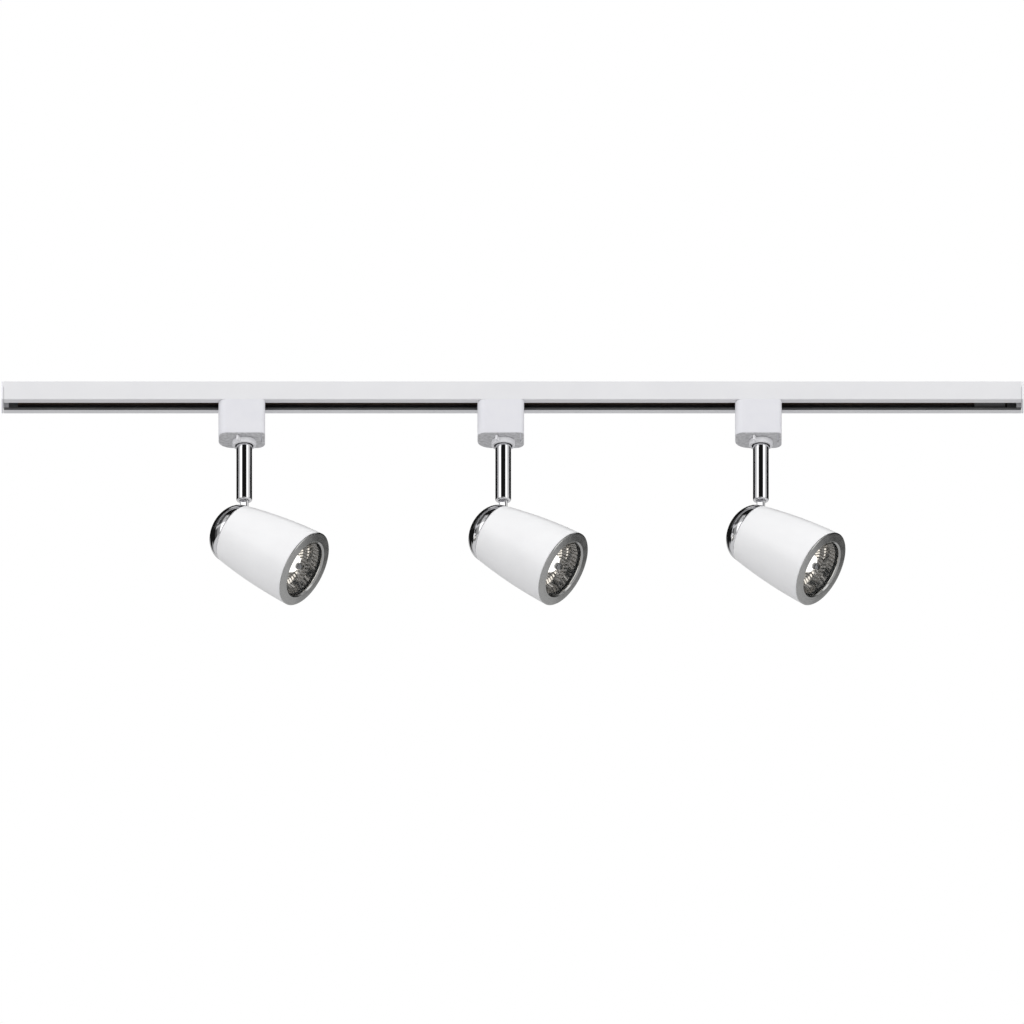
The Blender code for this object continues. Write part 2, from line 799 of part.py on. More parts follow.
def pivot_pin():
    """The tilt hinge's pin, with a head outside one ear and a swaged end outside the other."""
    seat = EAR_Y[1] + GAP
    head_radius, head_height = PIN_HEAD
    swage_radius, swage_height = PIN_SWAGE
    return turned(
        [
            (-seat - head_height, 0.0),
            (-seat - head_height, head_radius),
            (-seat, head_radius),
            (-seat, PIN_RADIUS),
            (seat, PIN_RADIUS),
            (seat, swage_radius),
            (seat + swage_height, swage_radius),
            (seat + swage_height, 0.0),
        ],
        COARSE,
        "Y",
    )


# Assembly ------------------------------------------------------------------------------------


def build_rail(materials):
    pieces = {
        "track_channel": (rail_channel(), "white_paint"),
        "insulator_front": (insulator(-1), "black_plastic"),
        "insulator_rear": (insulator(1), "black_plastic"),
        "conductor_live": (conductor(-1), "copper"),
        "conductor_neutral": (conductor(1), "copper"),
        "ground_strip": (ground_strip(), "copper"),
        "end_cap_left": (end_cap(-1), "white_plastic"),
        "end_cap_right": (end_cap(1), "white_plastic"),
        "feed_block": (feed_block(), "black_plastic"),
    }
    for name, (bm, material) in pieces.items():
        place(name, finished_mesh(name, bm, materials[material]), None)


def spotlight_meshes(materials):
    """The meshes that all spotlights share, grouped by the frame they belong to."""
    groups = {
        "carriage": {
            "adapter_housing": (adapter_housing(), "white_plastic"),
            "adapter_cover": (adapter_cover(), "white_plastic"),
            "contact_neck": (contact_neck(), "black_plastic"),
            "live_contact": (contact(-1), "brass"),
            "neutral_contact": (contact(1), "brass"),
            "lock_collar": (lock_collar(), "white_plastic"),
        },
        "swivel": {
            "stem": (stem(), "chrome"),
            "stem_nut": (stem_nut(), "steel"),
            "swivel_arm": (swivel_arm(), "chrome"),
        },
        "tilt": {
            "shade": (shade(), "white_paint"),
            "rear_cap": (rear_cap(), "chrome"),
            "front_ring": (front_ring(), "satin_nickel"),
            "lamp_lens": (lamp_lens(), "clear_glass"),
            "lamp": (lamp(), "reflector"),
            "lampholder": (lampholder(), "ceramic"),
            "head_bracket": (head_bracket(), "steel"),
            "pivot_pin": (pivot_pin(), "steel"),
        },
    }
    return {
        frame: {
            name: finished_mesh(name, bm, materials[material])
            for name, (bm, material) in pieces.items()
        }
        for frame, pieces in groups.items()
    }


def build_spotlight(number, x, meshes):
    carriage = make_empty(f"carriage_{number}", None, (x, 0.0, 0.0))
    swivel = make_empty(f"swivel_{number}", carriage, (0.0, 0.0, 0.0), (0.0, 0.0, PAN))
    tilt = make_empty(f"tilt_{number}", swivel, (0.0, 0.0, -PIVOT_DEPTH), (0.0, TILT, 0.0))
    frames = {"carriage": carriage, "swivel": swivel, "tilt": tilt}
    for frame, pieces in meshes.items():
        for name, mesh in pieces.items():
            place(f"{name}_{number}", mesh, frames[frame])


def main():
    clear_scene()
    materials = make_materials()
    build_rail(materials)
    meshes = spotlight_meshes(materials)
    for number, x in enumerate(STEM_X, start=1):
        build_spotlight(number, x, meshes)
    bpy.context.view_layer.update()


main()
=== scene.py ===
"""The looks of the track lighting fixture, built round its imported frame.

World frame, in metres: +X along the rail, -Y towards the viewer, +Z up, origin at the rail's top.
Each spotlight has two frames of its own, both read from its joints:
  stem frame  origin at ceiling height on the stem's axis, +X towards the side it aims at, +Z up
  head frame  origin at the tilt pivot, +X along the beam, +Y along the pivot pin
"""

import json
import math

import bmesh
import bpy
from mathutils import Matrix, Vector

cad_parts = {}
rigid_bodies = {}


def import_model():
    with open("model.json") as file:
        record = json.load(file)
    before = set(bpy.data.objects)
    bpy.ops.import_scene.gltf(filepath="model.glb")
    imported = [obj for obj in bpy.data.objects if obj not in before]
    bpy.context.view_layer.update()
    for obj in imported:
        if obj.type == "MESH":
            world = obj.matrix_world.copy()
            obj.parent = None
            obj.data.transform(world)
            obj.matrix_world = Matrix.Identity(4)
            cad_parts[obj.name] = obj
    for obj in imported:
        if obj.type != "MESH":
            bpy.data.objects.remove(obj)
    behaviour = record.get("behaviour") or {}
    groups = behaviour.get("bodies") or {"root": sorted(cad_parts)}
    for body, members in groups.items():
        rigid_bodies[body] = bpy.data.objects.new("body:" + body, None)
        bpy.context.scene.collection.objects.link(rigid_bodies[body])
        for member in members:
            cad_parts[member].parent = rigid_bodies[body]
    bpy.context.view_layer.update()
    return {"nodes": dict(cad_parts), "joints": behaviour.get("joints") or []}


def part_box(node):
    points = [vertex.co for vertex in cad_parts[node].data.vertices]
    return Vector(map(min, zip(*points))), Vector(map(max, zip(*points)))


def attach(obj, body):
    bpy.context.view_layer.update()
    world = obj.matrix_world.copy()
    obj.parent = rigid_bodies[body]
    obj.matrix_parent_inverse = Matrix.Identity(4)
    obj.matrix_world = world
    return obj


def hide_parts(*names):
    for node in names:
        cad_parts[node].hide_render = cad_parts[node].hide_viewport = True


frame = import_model()

HEADS = (1, 2, 3)
GAP = 0.0003  # between neighbouring pieces
OVERLAP = 0.001  # of pieces that are joined into one
ROUND = 128  # facets round a full turn
FILLET_STEPS = 5
SHARP_ANGLE = 38.0  # degrees between faces, above which an edge stays crisp
FACET_SHARP_ANGLE = 5.0

# Rail
RAIL_WIDTH = 0.035
RAIL_HEIGHT = 0.0195
RAIL_WALL = 0.0014
SLOT_WIDTH = 0.0175
LIP_THICKNESS = 0.002
LIP_EDGE = (0.0012, 0.0008)  # thickness, height
RIB_TOP = 0.0032
RIB_SIZE = (0.0012, 0.0008)  # reach, height
RAIL_LOWER_FILLET = 0.0009
RAIL_UPPER_FILLET = 0.0007
END_PLATE = 0.002
FINGER_LENGTH = 0.005
FINGER_Y = (0.0092, 0.0114)
FINGER_FLOOR = -0.0164
SCREW_HOLES = ((-0.360, 0.0024), (0.360, 0.0024))  # x, radius
KNOCKOUT = (0.467, 0.007)
DRILL = (-0.003, 0.001)  # low and high ends
RAIL_FINE_FILLET = 0.0003
RAIL_LIP_FILLET = 0.0005
END_PLATE_EDGE = 0.0005
FINGER_EDGE = 0.0004
PAINTED_SHADE_TOP = -0.0012  # painted shade inside the channel reaches up to here, in the top web

# Adapter housing, from the stem's axis
HOUSING_X = (-0.0252, 0.0204)
HOUSING_HALF_DEPTH = 0.0192
HOUSING_TOP = -RAIL_HEIGHT - GAP
HOUSING_BOTTOM = -0.056
HOUSING_WALL = 0.0018
HOUSING_FRONT_CORNERS = (0.0090, 0.0046)  # left, right
HOUSING_REAR_CORNERS = (0.0150, 0.0088)
HOUSING_LEAST_CORNER = 0.0005
HOUSING_EDGE = 0.0013
HOUSING_HOLE = 0.0103
LATCH_SEAM_X = 0.0168
LATCH_SEAM_SIZE = (0.0011, 0.021, 0.0012)  # width, length, depth
HOUSING_TOP_EDGE = 0.0005
HOUSING_FLOOR = HOUSING_BOTTOM + 0.002
HOUSING_HOLE_EDGE = 0.0004

# Lock collar
COLLAR_TOP = HOUSING_BOTTOM - GAP
COLLAR_BOTTOM = -0.0618
COLLAR_RADIUS = 0.0115
SLEEVE_TOP = -0.0448
SLEEVE_RADIUS = 0.0099
COLLAR_RECESS = (0.0090, 0.0020)  # radius, depth
COLLAR_BORE = 0.00805
LEVER_SIZE = (0.0020, 0.0175, 0.0052)  # width, reach, height
LEVER_ANGLE = math.radians(-113.7)
LEVER_EDGE = 0.0005

# Stem and arm
STEM_RADIUS = 0.0077
STEM_WALL = 0.0015
STEM_TOP = -0.030
STEM_BOTTOM = -0.1203
STEM_MOUTH = 0.00495
STEM_END_FILLET = 0.0021
ARM_WIDTH = 0.0084
ARM_THICKNESS = 0.0035
ARM_EYE_RADIUS = 0.0055
ARM_HOLE_RADIUS = 0.00235
ARM_EDGE = 0.0017
ARM_PLUG_TOP = -0.107
ARM_PLUG_EDGE = 0.0004
ARM_DRILL_REACH = 0.01

# Head, as distances ahead of the pivot and radii from the beam's axis
SHADE_REAR = -0.0109
SHADE_FRONT = 0.0738
SHADE_RADII = (0.0300, 0.0387)  # rear, front
SHADE_BARREL = 0.0017
SHADE_WALL = 0.0013
DOME_RADIUS = 0.0297
DOME_DEPTH = 0.0218
DOME_WALL = 0.0013
DOME_SKIRT = (0.0282, -0.0054)  # radius, front end
DOME_SLOT_WIDTH = 0.0046
DOME_SLOT_LOW = -0.0056
DOME_SLOT_HIGH = 0.035
DOME_ROLLED_EDGE = 0.0004
RING_FRONT = 0.0759
RING_RADIUS = 0.03875
RING_BAND = 0.0294  # inner edge of the front band
RING_FALL = 0.0004  # of the band, from its inner to its outer edge
RING_OPENING = 0.0282
RING_SLOPE_DEPTH = 0.0014
RING_SKIRT = (0.0366, 0.0667)  # radius, rear end
RING_SHOULDER = 0.0738
RING_SKIRT_WALL = 0.001
LENS_REAR = 0.0712
LENS_FLANGE = (0.0300, 0.0735)  # radius, front
LENS_CROWN = 0.0746
LENS_FALL = 0.0005  # of the crown, from its centre to its edge
LENS_CHAMFER = 0.0004
LAMP_FRONT = LENS_REAR - GAP
LAMP_RADIUS = 0.0300
LAMP_NECK = (0.0422, 0.010)  # where the bowl starts, radius there
LAMP_BASE = 0.0292
LAMP_BASE_EDGE = 0.0015
LAMP_RIM = 0.0027  # depth of the straight rim in front of the bowl
LAMP_RIM_EDGE = 0.0005
LAMP_PIN = (0.0019, 0.0202, 0.005)  # radius, rear end, distance from the axis
CAVITY = (0.0462, 0.007, 0.0272)  # rear, radius there, radius at the front
CAVITY_FACETS = 40
CAVITY_RINGS = 9
CAVITY_FLOOR = 0.0004  # depth of the tip behind the last ring
FACET_PILLOW = 0.0005  # how far a facet's middle is sunk at the front
BURNER_REAR = 0.0477
BURNER_BULGE = (0.0580, 0.0635, 0.0090)  # start, end, radius
BURNER_TIP = 0.0708
BURNER_TIP_RADIUS = 0.0034
BURNER_STALK = (0.0040, 0.0048)  # radius at the rear, in front

# Stage
FLOOR_Z = -1.2
FLOOR_SIZE = 12.0
CAMERA_ELEVATION = math.radians(-23.56)
CAMERA_DISTANCE = 1.2
CAMERA_WIDTH = 1.002
CAMERA_TARGET = (-0.0005, 0.0484, -0.1110)
SOFT_LIGHT = (1.12, -0.16)  # brightness, its change from -X to +X and from -Y to +Y
MIRROR_DARK = 0.008
MOTTLE = (0.3, 2.0)

# Bright and dark walls of the studio that only mirrors see. Each row says whether the wall is
# on both sides, whether it is mottled, its limits in degrees round from -Y towards +X and above
# the horizon, and its brightness.
MIRRORED_WALLS = (
    (True, False, (33, 61), (-95, 28), 1.25),
    (True, True, (33, 61), (28, 56), 0.4),
    (True, False, (61, 96), (19, 27), 0.6),
    (True, False, (61, 80), (-95, 19), 0.28),
    (True, False, (80, 96), (-95, 19), 0.06),
    (True, True, (61, 122), (27, 58), 0.06),
    (True, False, (152, 185), (-95, 21), 0.5),
    (False, False, (-152, -120), (-95, 1), 0.3),
    (False, False, (96, 138), (-95, 12), 0.09),
    (False, False, (138, 152), (-95, 9), 0.6),
    (True, False, (150, 185), (58, 95), 0.6),
)


# Shapes ---------------------------------------------------------------------------------------


def filleted(points, closed=True):
    """A loop of (a, b, radius) corners as (a, b) points, with each corner rounded to its radius."""
    result = []
    for index, (a, b, radius) in enumerate(points):
        corner = Vector((a, b))
        at_end = not closed and index in (0, len(points) - 1)
        if radius == 0.0 or at_end:
            result.append(corner)
            continue
        before = Vector(points[index - 1][:2]) - corner
        after = Vector(points[(index + 1) % len(points)][:2]) - corner
        half = before.angle(after) / 2
        setback = min(radius / math.tan(half), 0.49 * before.length, 0.49 * after.length)
        centre = corner + (before.normalized() + after.normalized()).normalized() * (
            setback / math.cos(half)
        )
        start = corner + before.normalized() * setback - centre
        end = corner + after.normalized() * setback - centre
        for step in range(FILLET_STEPS + 1):
            turned_by = start.normalized().slerp(end.normalized(), step / FILLET_STEPS)
            result.append(centre + turned_by * start.length)
    return [(point.x, point.y) for point in result]


def arc(centre, radius, start, end, steps):
    return [
        (
            centre[0] + radius * math.cos(start + (end - start) * step / steps),
            centre[1] + radius * math.sin(start + (end - start) * step / steps),
        )
        for step in range(steps + 1)
    ]


def lofted(rings):
    """A closed skin through rings of points. A ring of one point closes the skin to a tip."""
    bm = bmesh.new()
    made = [[bm.verts.new(point) for point in ring] for ring in rings]
    count = max(len(ring) for ring in made)
    pairs = list(zip(made, made[1:]))
    if len(made[0]) > 1:
        pairs.append((made[-1], made[0]))
    for ring, following in pairs:
        for step in range(count):
            corners = [
                ring[step % len(ring)],
                ring[(step + 1) % len(ring)],
                following[(step + 1) % len(following)],
                following[step % len(following)],
            ]
            corners = list(dict.fromkeys(corners))
            if len(corners) > 2:
                bm.faces.new(corners)
    bmesh.ops.recalc_face_normals(bm, faces=bm.faces)
    return bm


def turned(profile, axis="X", steps=ROUND):
    """A solid of revolution about X, Y or Z from a loop of (along, radius) points."""
    order = {"X": (0, 1, 2), "Y": (1, 2, 0), "Z": (2, 0, 1)}[axis]
    rings = []
    for along, radius in profile:
        on_axis = radius < 1e-7
        ring = []
        for step in range(1 if on_axis else steps):
            angle = 2 * math.pi * step / steps
            point = [0.0, 0.0, 0.0]
            for place, value in zip(
                order, (along, radius * math.cos(angle), radius * math.sin(angle))
            ):
                point[place] = value
            ring.append(point)
        rings.append(ring)
    return lofted(rings)


def extruded(outline, low, high, axis="Z"):
    place = {
        "X": lambda a, b, height: (height, a, b),
        "Y": lambda a, b, height: (a, height, b),
        "Z": lambda a, b, height: (a, b, height),
    }[axis]
    bm = bmesh.new()
    base = [bm.verts.new(place(a, b, low)) for a, b in outline]
    top = [bm.verts.new(place(a, b, high)) for a, b in outline]
    bm.faces.new(base)
    bm.faces.new(top)
    for index in range(len(outline)):
        after = (index + 1) % len(outline)
        bm.faces.new((base[index], base[after], top[after], top[index]))
    bmesh.ops.recalc_face_normals(bm, faces=bm.faces)
    return bm


def block(x, y, z):
    return extruded([(x[0], y[0]), (x[1], y[0]), (x[1], y[1]), (x[0], y[1])], z[0], z[1])


def cylinder(centre, radius, low, high, axis="Z", steps=48):
    return extruded(arc(centre, radius, 0.0, 2 * math.pi, steps)[:-1], low, high, axis)


def loose_object(name, bm):
    mesh = bpy.data.meshes.new(name)
    bm.to_mesh(mesh)
    bm.free()
    obj = bpy.data.objects.new(name, mesh)
    bpy.context.scene.collection.objects.link(obj)
    return obj


def applied(obj):
    """The object's evaluated shape as a bmesh, with the object itself removed."""
    mesh = bpy.data.meshes.new_from_object(
        obj.evaluated_get(bpy.context.evaluated_depsgraph_get())
    )
    bm = bmesh.new()
    bm.from_mesh(mesh)
    bpy.data.meshes.remove(mesh)
    bpy.data.objects.remove(obj, do_unlink=True)
    return bm


def combined(base, others, operation):
    result = loose_object("whole", base)
    helpers = [loose_object("helper", other) for other in others]
    for helper in helpers:
        modifier = result.modifiers.new(operation, "BOOLEAN")
        modifier.operation = operation
        modifier.solver = "EXACT"
        modifier.object = helper
    bm = applied(result)
    for helper in helpers:
        bpy.data.objects.remove(helper, do_unlink=True)
    return bm


def bevelled(bm, width, segments=3, angle=35.0):
    """The same shape with its sharp edges rounded."""
    sharp = [
        edge
        for edge in bm.edges
        if edge.is_manifold and edge.calc_face_angle() > math.radians(angle)
    ]
    bmesh.ops.bevel(
        bm,
        geom=sharp,
        offset=width,
        segments=segments,
        profile=0.5,
        affect="EDGES",
        clamp_overlap=True,
    )
    return bm


def finished(name, bm, material, body, nodes=(), place=None, sharp_angle=SHARP_ANGLE):
    """Turns a bmesh into a piece that rides on a body and stands for its CAD nodes.

    The mesh is moved to its place in the world, and keeps its first coordinates as "local".
    """
    local = bm.verts.layers.float_vector.new("local")
    for vert in bm.verts:
        vert[local] = vert.co
    if place is not None:
        bm.transform(place)
    obj = loose_object(name, bm)
    obj.data.materials.append(material)
    obj.data.shade_smooth()
    obj.data.set_sharp_from_angle(angle=math.radians(sharp_angle))
    normals = obj.modifiers.new("weighted_normals", "WEIGHTED_NORMAL")
    normals.keep_sharp = True
    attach(obj, body)
    if nodes:
        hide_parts(*nodes)
    return obj


# Materials ------------------------------------------------------------------------------------


def add_node(tree, kind, **settings):
    node = tree.nodes.new(kind)
    for name, value in settings.items():
        setattr(node, name, value)
    return node


def noise(tree, coordinates, size, detail=3.0, stretch=(1.0, 1.0, 1.0)):
    """A noise value between 0 and 1, with features of about the given size in metres."""
    scaled = add_node(tree, "ShaderNodeMapping")
    scaled.inputs["Scale"].default_value = [factor / size for factor in stretch]
    tree.links.new(coordinates, scaled.inputs["Vector"])
    pattern = add_node(tree, "ShaderNodeTexNoise")
    pattern.inputs["Scale"].default_value = 1.0
    pattern.inputs["Detail"].default_value = detail
    tree.links.new(scaled.outputs["Vector"], pattern.inputs["Vector"])
    return pattern.outputs["Fac"]


def ranged(tree, value, low, high, from_low=0.3, from_high=0.7):
    """The value stretched so that most of it lies between low and high."""
    node = add_node(tree, "ShaderNodeMapRange")
    node.inputs["From Min"].default_value = from_low
    node.inputs["From Max"].default_value = from_high
    node.inputs["To Min"].default_value = low
    node.inputs["To Max"].default_value = high
    tree.links.new(value, node.inputs["Value"])
    return node.outputs["Result"]


def mixed(tree, factor, first, second):
    node = add_node(tree, "ShaderNodeMix", data_type="RGBA")
    tree.links.new(factor, node.inputs["Factor"])
    for socket, colour in ((node.inputs[6], first), (node.inputs[7], second)):
        if isinstance(colour, tuple):
            socket.default_value = (*colour, 1.0)
        else:
            tree.links.new(colour, socket)
    return node.outputs[2]


def fill(tree, sockets, values):
    """Gives each socket a plain number or a link."""
    for socket, value in zip(sockets, values):
        if isinstance(value, (int, float)):
            socket.default_value = value
        else:
            tree.links.new(value, socket)


def mixed_value(tree, factor, first, second):
    node = add_node(tree, "ShaderNodeMix", data_type="FLOAT")
    tree.links.new(factor, node.inputs[0])
    fill(tree, (node.inputs[2], node.inputs[3]), (first, second))
    return node.outputs[0]


def maths(tree, operation, *values):
    node = add_node(tree, "ShaderNodeMath", operation=operation)
    fill(tree, node.inputs, values)
    return node.outputs[0]


def between(tree, value, low, high):
    """1 where the value lies between two limits, otherwise 0."""
    above = maths(tree, "GREATER_THAN", value, low)
    return maths(tree, "MULTIPLY", above, maths(tree, "LESS_THAN", value, high))


def split(tree, vector):
    """The X, Y and Z of a vector."""
    parts = add_node(tree, "ShaderNodeSeparateXYZ")
    tree.links.new(vector, parts.inputs[0])
    return parts.outputs


def own_frame(tree):
    """The coordinates in the piece's own frame, as a vector."""
    return add_node(tree, "ShaderNodeAttribute", attribute_name="local").outputs["Vector"]


def distance(tree, first, second):
    """The length of a vector with two parts."""
    flat = add_node(tree, "ShaderNodeCombineXYZ")
    tree.links.new(first, flat.inputs["X"])
    tree.links.new(second, flat.inputs["Y"])
    radius = add_node(tree, "ShaderNodeVectorMath", operation="LENGTH")
    tree.links.new(flat.outputs[0], radius.inputs[0])
    return radius.outputs["Value"]


def bumped(tree, shader, height, distance, strength=1.0):
    node = add_node(tree, "ShaderNodeBump")
    node.inputs["Distance"].default_value = distance
    node.inputs["Strength"].default_value = strength
    tree.links.new(height, node.inputs["Height"])
    tree.links.new(node.outputs["Normal"], shader.inputs["Normal"])


def start_material(name, metallic=0.0, **plain):
    """A Principled material with plain values set on its sockets; returns its working parts."""
    material = bpy.data.materials.new(name)
    material.use_nodes = True
    tree = material.node_tree
    shader = tree.nodes["Principled BSDF"]
    shader.inputs["Metallic"].default_value = metallic
    for socket, value in plain.items():
        shader.inputs[socket.replace("_", " ")].default_value = value
    coordinates = add_node(tree, "ShaderNodeTexCoord").outputs["Object"]
    return material, tree, shader, coordinates


def plain_surface(
    name, light, dark, patch, roughness, grain, bump, stretch=(1.0, 1.0, 1.0), metallic=0.0, **plain
):
    """Colour that drifts between two tones, with uneven roughness and a fine grain.

    patch and grain are feature sizes in metres, and bump is the grain's height.
    """
    material, tree, shader, coordinates = start_material(name, metallic, **plain)
    drift = noise(tree, coordinates, patch, 4.0, stretch)
    fine = noise(tree, coordinates, grain, 3.0, stretch)
    tone = ranged(tree, drift, 0.0, 1.0)
    tree.links.new(mixed(tree, tone, light, dark), shader.inputs["Base Color"])
    tree.links.new(
        ranged(tree, noise(tree, coordinates, patch * 0.4, 5.0, stretch), *roughness),
        shader.inputs["Roughness"],
    )
    bumped(tree, shader, fine, bump)
    return material


def white_paint():
    """Glossy powder coat: faint orange peel under a clear film."""
    return plain_surface(
        "white_paint",
        light=(0.94, 0.94, 0.95),
        dark=(0.91, 0.91, 0.92),
        patch=0.035,
        roughness=(0.30, 0.42),
        grain=0.0011,
        bump=0.00003,
        Coat_Weight=0.35,
        Coat_Roughness=0.12,
    )


def rail_paint_and_shade():
    """Satin powder coat outside; the slot and the inside of the channel are painted dark grey as
    painted shade.
    """
    material, tree, shader, coordinates = start_material(
        "rail_paint_and_shade", Coat_Weight=0.2, Coat_Roughness=0.2
    )
    _, y, z = split(tree, coordinates)
    across = maths(tree, "ABSOLUTE", y)
    # The mask of the painted shade: the slot, and the channel's inside below the top web.
    slot = maths(tree, "LESS_THAN", across, SLOT_WIDTH / 2 + 0.0002)
    slot = maths(tree, "MULTIPLY", slot, maths(tree, "LESS_THAN", z, PAINTED_SHADE_TOP))
    walls = maths(tree, "LESS_THAN", across, RAIL_WIDTH / 2 - RAIL_WALL + 0.0001)
    depth = between(tree, z, -RAIL_HEIGHT + LIP_THICKNESS - 0.0001, PAINTED_SHADE_TOP)
    inside = maths(tree, "MAXIMUM", slot, maths(tree, "MULTIPLY", walls, depth))
    drift = ranged(tree, noise(tree, coordinates, 0.05, 4.0), 0.0, 1.0)
    paint = mixed(tree, drift, (0.85, 0.85, 0.865), (0.82, 0.82, 0.84))
    # Painted shade: a dark grey in place of the white paint.
    painted_channel_shade = mixed(tree, drift, (0.22, 0.22, 0.225), (0.16, 0.16, 0.165))
    tree.links.new(mixed(tree, inside, paint, painted_channel_shade), shader.inputs["Base Color"])
    tree.links.new(
        ranged(tree, noise(tree, coordinates, 0.02, 5.0), 0.34, 0.46), shader.inputs["Roughness"]
    )
    bumped(tree, shader, noise(tree, coordinates, 0.0009), 0.00002)
    return material


def white_plastic():
    """Moulded plastic, finely textured; its underside is painted shade, a darker grey mottled by
    noise.
    """
    material, tree, shader, coordinates = start_material("white_plastic")
    drift = ranged(tree, noise(tree, coordinates, 0.02), 0.0, 1.0)
    clean = mixed(tree, drift, (0.80, 0.80, 0.845), (0.83, 0.83, 0.865))
    # Painted shade for the underside: a darker grey, mottled by this noise.
    shade_mottle = ranged(tree, noise(tree, coordinates, 0.0035, 5.0), 0.0, 1.0)
    shaded = mixed(tree, shade_mottle, (0.46, 0.46, 0.47), (0.74, 0.74, 0.76))
    below = ranged(
        tree,
        split(tree, coordinates)["Z"],
        1.0,
        0.0,
        from_low=HOUSING_BOTTOM + 0.0002,
        from_high=HOUSING_BOTTOM + 0.0009,
    )
    tree.links.new(mixed(tree, below, clean, shaded), shader.inputs["Base Color"])
    tree.links.new(
        ranged(tree, noise(tree, coordinates, 0.006, 5.0), 0.38, 0.52), shader.inputs["Roughness"]
    )
    bumped(tree, shader, noise(tree, coordinates, 0.0005), 0.00003)
    return material


def collar_plastic():
    """Smooth moulded plastic, coloured near-black inside the collar's recess round the stem."""
    material, tree, shader, _ = start_material("collar_plastic")
    coordinates = own_frame(tree)
    x, y, z = split(tree, coordinates)
    near = maths(tree, "LESS_THAN", distance(tree, x, y), COLLAR_RECESS[0] + 0.0002)
    depth = between(tree, z, COLLAR_BOTTOM + 0.0004, COLLAR_BOTTOM + 0.0040)
    # The collar's recess, coloured near-black.
    dark_recess = maths(tree, "MULTIPLY", near, depth)
    drift = ranged(tree, noise(tree, coordinates, 0.006, 4.0), 0.0, 1.0)
    clean = mixed(tree, drift, (0.90, 0.90, 0.92), (0.86, 0.86, 0.89))
    black = mixed(tree, drift, (0.02, 0.02, 0.02), (0.03, 0.03, 0.03))
    tree.links.new(mixed(tree, dark_recess, clean, black), shader.inputs["Base Color"])
    tree.links.new(
        ranged(tree, noise(tree, coordinates, 0.003, 5.0), 0.32, 0.46), shader.inputs["Roughness"]
    )
    bumped(tree, shader, noise(tree, coordinates, 0.0005), 0.00002)
    return material


def black_plastic():
    return plain_surface(
        "black_plastic",
        light=(0.030, 0.030, 0.032),
        dark=(0.016, 0.016, 0.018),
        patch=0.012,
        roughness=(0.42, 0.62),
        grain=0.0006,
        bump=0.00004,
    )


def drawn_metal(name, light, dark, roughness):
    """Strip or bar drawn along X: long faint scratches and handled patches."""
    return plain_surface(
        name,
        light=light,
        dark=dark,
        patch=0.003,
        roughness=roughness,
        grain=0.0004,
        bump=0.00002,
        stretch=(0.05, 1.0, 1.0),
        metallic=1.0,
    )


def zinc_steel():
    """Zinc plate: a mosaic of faint crystals."""
    material, tree, shader, coordinates = start_material("zinc_steel", metallic=1.0)
    scaled = add_node(tree, "ShaderNodeMapping")
    scaled.inputs["Scale"].default_value = (700.0, 700.0, 700.0)
    tree.links.new(coordinates, scaled.inputs["Vector"])
    crystals = add_node(tree, "ShaderNodeTexVoronoi")
    crystals.inputs["Scale"].default_value = 1.0
    tree.links.new(scaled.outputs["Vector"], crystals.inputs["Vector"])
    split = add_node(tree, "ShaderNodeSeparateColor")
    tree.links.new(crystals.outputs["Color"], split.inputs[0])
    tone = split.outputs[0]
    tree.links.new(
        mixed(tree, tone, (0.50, 0.51, 0.53), (0.66, 0.67, 0.68)), shader.inputs["Base Color"]
    )
    tree.links.new(ranged(tree, tone, 0.26, 0.42, 0.0, 1.0), shader.inputs["Roughness"])
    bumped(tree, shader, noise(tree, coordinates, 0.0006), 0.00002)
    return material


def chrome():
    """Bright plate with faint handling smudges."""
    return plain_surface(
        "chrome",
        light=(0.93, 0.93, 0.94),
        dark=(0.88, 0.88, 0.90),
        patch=0.010,
        roughness=(0.02, 0.06),
        grain=0.004,
        bump=0.000004,
        metallic=1.0,
    )


def satin_nickel():
    """Nickel turned on a lathe: fine rings round the beam's axis."""
    material, tree, shader, _ = start_material("satin_nickel", metallic=1.0)
    coordinates = own_frame(tree)
    x, y, z = split(tree, coordinates)
    rings = add_node(tree, "ShaderNodeCombineXYZ")
    tree.links.new(x, rings.inputs["X"])
    tree.links.new(distance(tree, y, z), rings.inputs["Y"])
    lines = noise(tree, rings.outputs[0], 0.0004, 4.0)
    patches = noise(tree, coordinates, 0.008, 4.0)
    tree.links.new(
        mixed(tree, ranged(tree, lines, 0.0, 1.0), (0.44, 0.44, 0.43), (0.60, 0.60, 0.59)),
        shader.inputs["Base Color"],
    )
    tree.links.new(ranged(tree, patches, 0.12, 0.20), shader.inputs["Roughness"])
    bumped(tree, shader, lines, 0.000012)
    return material


def reflector():
    """Vacuum-coated glass with a warm grey tint."""
    return plain_surface(
        "reflector",
        light=(0.74, 0.71, 0.67),
        dark=(0.50, 0.48, 0.45),
        patch=0.004,
        roughness=(0.05, 0.12),
        grain=0.0012,
        bump=0.00002,
        metallic=1.0,
    )


def clear_glass():
    """Thin clear glass, seen mostly by its reflections."""
    material, tree, shader, coordinates = start_material("clear_glass", Alpha=0.2, IOR=1.5)
    tone = ranged(tree, noise(tree, coordinates, 0.01), 0.0, 1.0)
    tree.links.new(
        mixed(tree, tone, (0.07, 0.075, 0.075), (0.11, 0.115, 0.115)), shader.inputs["Base Color"]
    )
    tree.links.new(
        ranged(tree, noise(tree, coordinates, 0.004, 5.0), 0.02, 0.08), shader.inputs["Roughness"]
    )
    return material


def ceramic():
    return plain_surface(
        "ceramic",
        light=(0.86, 0.84, 0.79),
        dark=(0.76, 0.73, 0.67),
        patch=0.003,
        roughness=(0.5, 0.7),
        grain=0.0007,
        bump=0.00006,
    )


